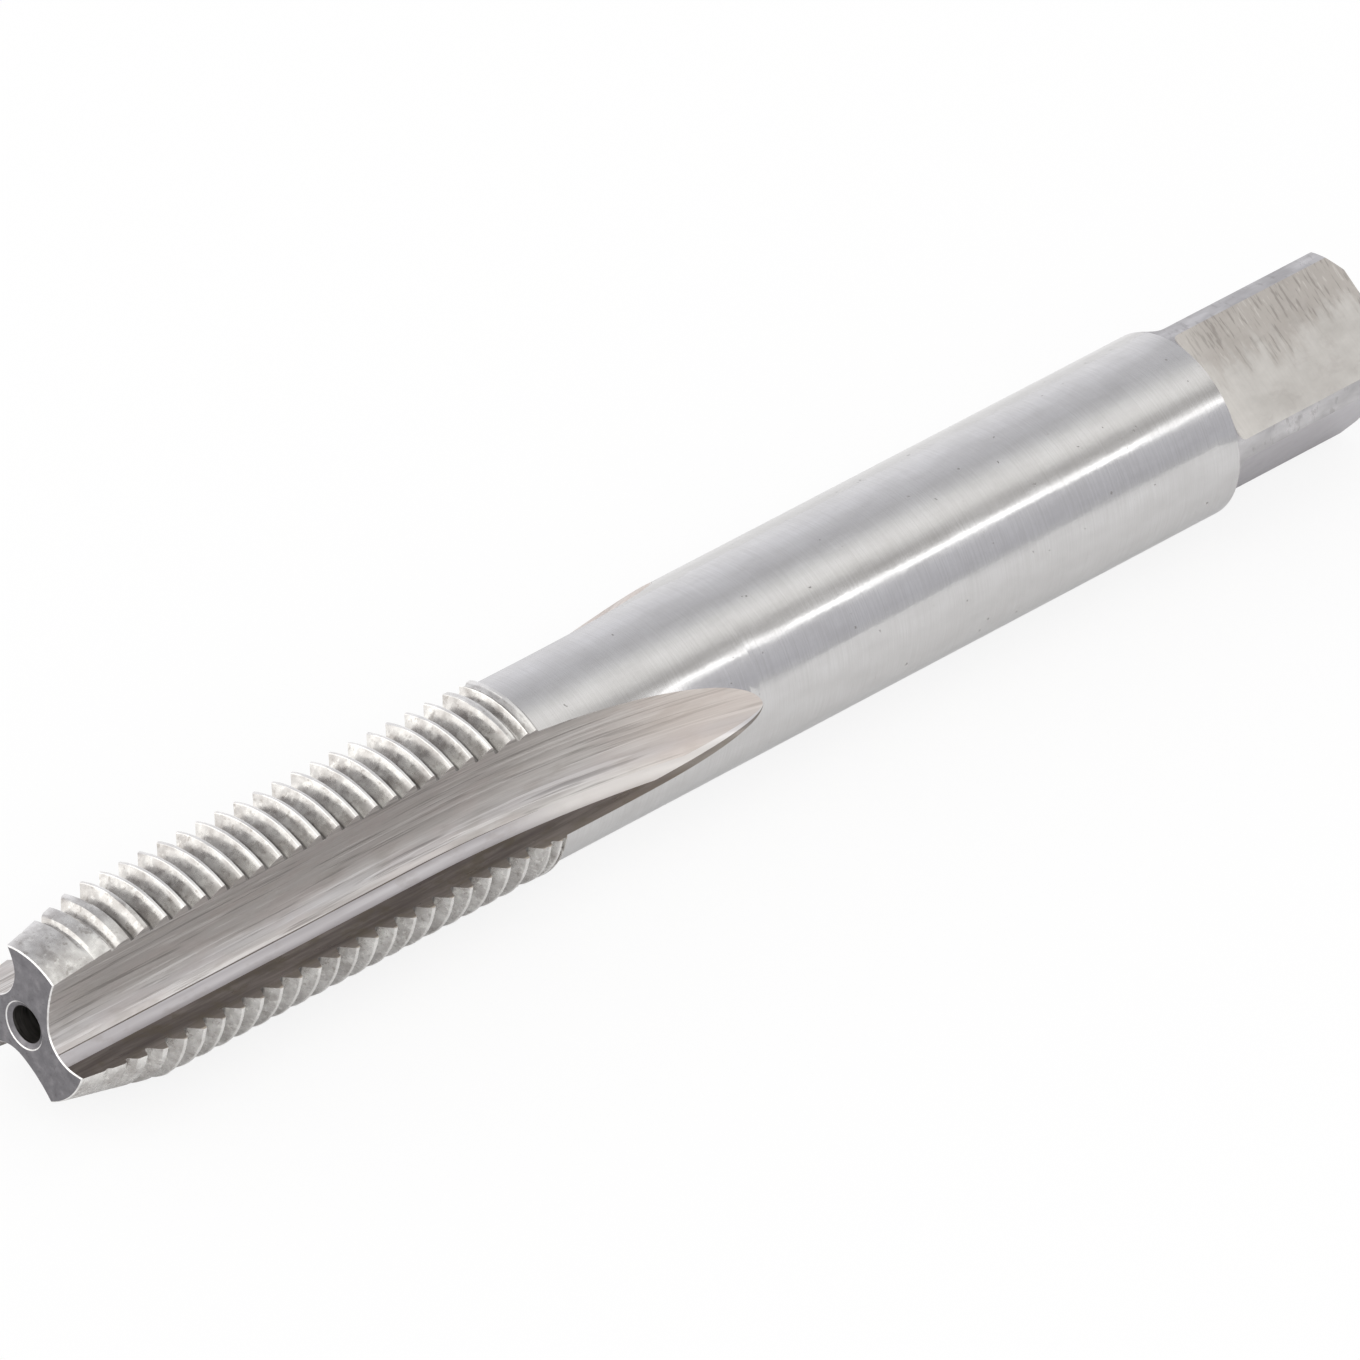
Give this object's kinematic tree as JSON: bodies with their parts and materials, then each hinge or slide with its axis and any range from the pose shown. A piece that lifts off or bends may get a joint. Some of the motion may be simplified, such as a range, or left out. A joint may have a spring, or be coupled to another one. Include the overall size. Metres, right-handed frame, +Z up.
{
  "type": "thread tap",
  "caption": "Straight-flute hand tap with a right-hand thread, a tapered lead, a plain round shank and a square drive end.",
  "frame": {"origin": "on the ground, under the middle of the tap's length and the axis of its shank, as the tap lies", "axes": "+X along the tap's axis from the cutting tip to the square drive end, +Z up"},
  "size_m": [0.071, 0.0084, 0.0082],
  "materials": {
    "tool_steel": "bright ground high-speed steel, satin in the flutes"
  },
  "bodies": {
    "root": {"tap": "tool_steel"}
  },
  "joints": []
}
